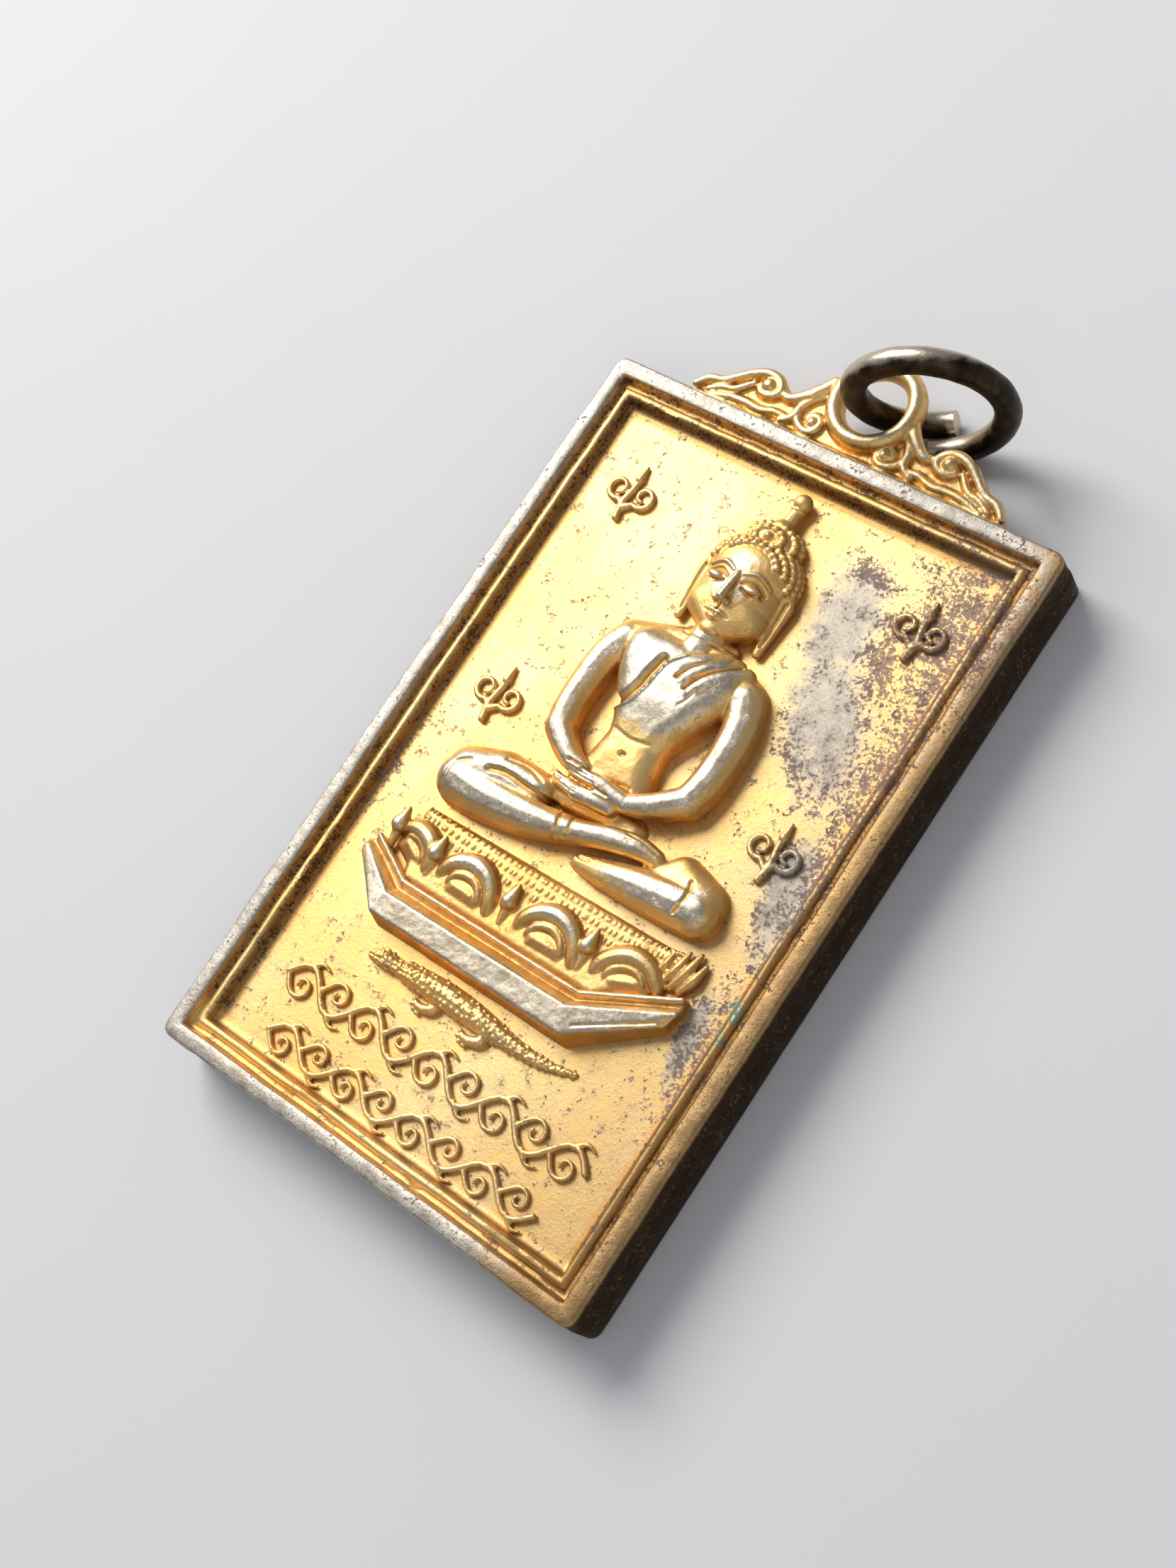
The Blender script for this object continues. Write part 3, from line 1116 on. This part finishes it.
crestShape = {
    "voxel": 0.055,
    "skin": [(0.8, 0.04), (0.25, 0.02)],
    "form": (50, 0.22),
    "edge": (6, 0.04),
    "low": 1.6,  # levels of the plate's back and face
    "top": 2.25,
    "ribLevel": 2.33,
    "ribGrowth": 1.65,  # what the radii below are multiplied by
    "outline": [(8.5, 0.1), (7.9, 1.0), (7.1, 1.35), (6.2, 2.05), (5.0, 2.45), (4.1, 2.1), (3.6, 1.85),
                (2.9, 2.35), (2.2, 3.2), (1.2, 4.0)],
    "foot": -0.15,  # the plate starts this far below the plaque's top edge
    "loopX": 0.25,
    "loopY": 2.84,
    "loopLevel": 2.3,
    "loopRadius": 1.86,
    "loopWire": (0.44, 0.6),
    # ribs on one side, from the middle of the plaque's top edge: x, y, radius
    "ribs": [
        [(8.2, 0.5, 0.12), (7.7, 0.98, 0.15), (7.0, 1.15, 0.15), (6.4, 1.6, 0.15), (5.8, 2.05, 0.16),
         (5.1, 2.28, 0.17), (4.5, 2.12, 0.17), (4.22, 1.72, 0.16), (4.45, 1.38, 0.15), (4.95, 1.3, 0.14),
         (5.25, 1.52, 0.13), (5.08, 1.75, 0.12)],
        [(7.5, 0.5, 0.1), (6.9, 0.82, 0.13), (6.3, 0.95, 0.13), (5.85, 1.35, 0.12), (5.6, 1.6, 0.1)],
        [(7.2, 0.3, 0.1), (6.3, 0.55, 0.13), (5.4, 0.62, 0.14), (4.6, 0.55, 0.14), (3.9, 0.75, 0.13),
         (3.3, 0.72, 0.11)],
        [(4.1, 1.7, 0.12), (3.6, 1.6, 0.17), (3.0, 1.95, 0.2), (2.45, 2.5, 0.22), (2.05, 3.1, 0.2)],
        [(3.5, 0.5, 0.1), (3.0, 0.85, 0.14), (2.9, 1.4, 0.14), (2.6, 1.95, 0.14), (2.15, 2.3, 0.12)],
        [(2.95, 1.2, 0.12), (2.65, 0.75, 0.13), (2.15, 0.5, 0.14), (1.7, 0.65, 0.14), (1.6, 1.1, 0.13),
         (1.95, 1.35, 0.12), (2.3, 1.15, 0.11), (2.15, 0.9, 0.1)],
    ],
    "beads": [(4.85, 1.75, 0.38), (1.95, 0.98, 0.3)],
    # the bar along the foot of the ribs: half length, y, radius
    "bar": (8.1, 0.12, 0.22),
}


def makeCrest():
    shape = crestShape
    top = halfHeight
    side = smoothPath(shape["outline"], 4)
    right = [(p.x, top + p.y, shape["low"]) for p in side]
    left = [(-p.x, top + p.y, shape["low"]) for p in reversed(side)]
    corner, foot = shape["outline"][0][0], top + shape["foot"]
    plate = chain([(corner, foot, shape["low"])] + right + left + [(-corner, foot, shape["low"])])
    editMesh()
    bpy.ops.mesh.edge_face_add()
    bpy.ops.mesh.extrude_region_move(TRANSFORM_OT_translate={"value": (0, 0, shape["top"] - shape["low"])})
    bpy.ops.mesh.select_all(action="SELECT")
    bpy.ops.mesh.normals_make_consistent(inside=False)
    endEdit()
    plate = joinUp([plate])
    spot = (shape["loopX"], top + shape["loopY"], shape["loopLevel"])
    clearPick()
    bpy.ops.mesh.primitive_cylinder_add(vertices=96, radius=shape["loopRadius"], depth=4, location=spot)
    drill = bpy.context.object
    modify(plate, "BOOLEAN", operation="DIFFERENCE", object=drill, solver="EXACT")
    bpy.data.objects.remove(drill)
    parts = [plate]
    level, growth = shape["ribLevel"], shape["ribGrowth"]
    for turn in (1, -1):
        for rib in shape["ribs"]:
            parts.append(rod([(turn * x, top + y, level, r * growth) for x, y, r in rib], steps=3, fine=3))
        for x, y, r in shape["beads"]:
            parts.append(ball(turn * x, top + y, level + 0.05, r, r, r * 0.9, segments=16))
    reach, y, r = shape["bar"]
    parts.append(rod([(x, top + y, level - 0.05, r) for x in (-reach, -4, 0, 4, reach)], steps=1))
    clearPick()
    across, along = shape["loopWire"]
    bpy.ops.mesh.primitive_torus_add(major_radius=shape["loopRadius"], minor_radius=across, major_segments=96,
                                     minor_segments=24, location=spot)
    bpy.context.object.scale.z = along / across
    parts.append(bpy.context.object)
    crest = fuse("crest_scrolls", parts, shape["voxel"], smooth=2, cut=False)
    castSkin(crest, shape)
    finishPiece(crest, shape, crestFinish, "crest")


makeCrest()


# Jump ring

ringShape = {
    "centre": (3.13, 3.49, 3.92),  # y from the plaque's top edge
    "radius": 3.31,
    "wire": 0.6,
    "pitch": 1.35,  # sideways in one turn
    "first": 276,  # angle of the first end and the way round to the other, in degrees
    "sweep": 380,
    "stations": 132,
    "lean": -63.6,
    "endSteps": [(0.05, 0.05), (0.12, 0.02)],
    "skin": [(0.9, 0.05), (0.25, 0.012)],
    # the way the rubbed side looks, how strongly it shows, and how far the cut ends are bright
    "rubbedSide": (-0.62, 0.36, 0.70),
    "rubbed": (1.1, 0.2),
    "brightEnd": 0.85,
}


def makeRing():
    shape = ringShape
    lean = math.radians(shape["lean"])
    centre = Vector(shape["centre"]) + Vector((0, halfHeight, 0))
    axis = Vector((math.cos(lean), math.sin(lean), 0))
    flat = Vector((-math.sin(lean), math.cos(lean), 0))
    rows = []
    for k in range(shape["stations"] + 1):
        degrees = shape["first"] - shape["sweep"] * k / shape["stations"]
        angle = math.radians(degrees)
        outward = flat * math.cos(angle) + Vector((0, 0, math.sin(angle)))
        spot = centre + outward * shape["radius"] - axis * shape["pitch"] * (degrees - 90) / 360
        rows.append((*spot, shape["wire"]))
    ring = rod(rows, steps=1, fine=7, roundEnds=False)
    ring.name = ring.data.name = "open_ring"
    editMesh()
    bpy.ops.mesh.remove_doubles(threshold=0.001)
    choose(ring, "FACE", lambda face: len(face.vertices) > 6)
    for thickness, depth in shape["endSteps"]:
        bpy.ops.mesh.inset(thickness=thickness, depth=depth)
    endEdit()
    castSkin(ring, shape)
    points = readPoints(ring) - np.array(centre)
    gain, least = shape["rubbed"]
    rubbed = readPoints(ring, "normal") @ np.array(shape["rubbedSide"]) * gain + least
    ends = np.array([rows[0][:3], rows[-1][:3]]) - np.array(centre)
    nearEnd = np.linalg.norm(points[:, None] - ends[None], axis=2).min(1)
    note(ring, "rubbed", np.maximum(rubbed, (shape["brightEnd"] - nearEnd) * 4), 0)
    finishPiece(ring, shape, wireFinish, "jump_ring")


makeRing()


# Floor, light and camera

studio = {
    "floorTone": (0.80, 0.79, 0.78),
    "skyTone": (0.86, 0.90, 1.0),
    "skyStrength": 0.30,
    # place, size and power in metres and watts
    "key": ((-0.25, 0.12, 0.25), 0.22, 1.27),
    "fill": ((0.22, -0.20, 0.30), 0.30, 0.2),
    "cameraPlace": (0.04672, -0.01024, 0.08664),
    "cameraForward": (-0.4919, 0.1111, -0.8635),
    "cameraUp": (-0.4364, 0.8268, 0.355),
    "lens": 52.08,
}


def makeFloor():
    clearPick()
    bpy.ops.mesh.primitive_plane_add(size=3, location=(0, 0, -0.00003))
    floor = bpy.context.object
    floor.name = "studio_floor"
    bpy.ops.object.transform_apply(location=True, rotation=True, scale=True)
    recipe = Recipe("pale floor")
    where = recipe.place()
    cloud = recipe.noise(where, 0.05, 3)
    tone = studio["floorTone"]
    floor.data.materials.append(recipe.surface({
        "Base Color": recipe.mix(cloud, tone, tuple(v * 0.97 for v in tone)),
        "Roughness": 0.75,
        "Specular IOR Level": 0.25,
    }))


def makeLight(name, place, size, power):
    clearPick()
    bpy.ops.object.light_add(type="AREA", location=place)
    lamp = bpy.context.object
    lamp.name = name
    lamp.data.shape = "SQUARE"
    lamp.data.size = size
    lamp.data.energy = power
    lamp.rotation_euler = Vector(place).to_track_quat("Z", "Y").to_euler()


def makeCamera():
    clearPick()
    bpy.ops.object.camera_add(location=studio["cameraPlace"])
    camera = bpy.context.object
    forward = Vector(studio["cameraForward"]).normalized()
    right = forward.cross(Vector(studio["cameraUp"])).normalized()
    camera.matrix_world = Matrix.Translation(studio["cameraPlace"]) @ Matrix(
        (right, right.cross(forward), -forward)).transposed().to_4x4()
    camera.data.lens = studio["lens"]
    camera.data.sensor_width = 36
    camera.data.clip_start = 0.005
    bpy.context.scene.camera = camera


makeFloor()
makeLight("key_light", *studio["key"])
makeLight("fill_light", *studio["fill"])
makeCamera()

sky = bpy.data.worlds.new("soft studio")
sky.use_nodes = True
backdrop = sky.node_tree.nodes["Background"]
backdrop.inputs["Color"].default_value = studio["skyTone"] + (1,)
backdrop.inputs["Strength"].default_value = studio["skyStrength"]
bpy.context.scene.world = sky
bpy.context.scene.view_settings.view_transform = "Standard"
print("studio is set")
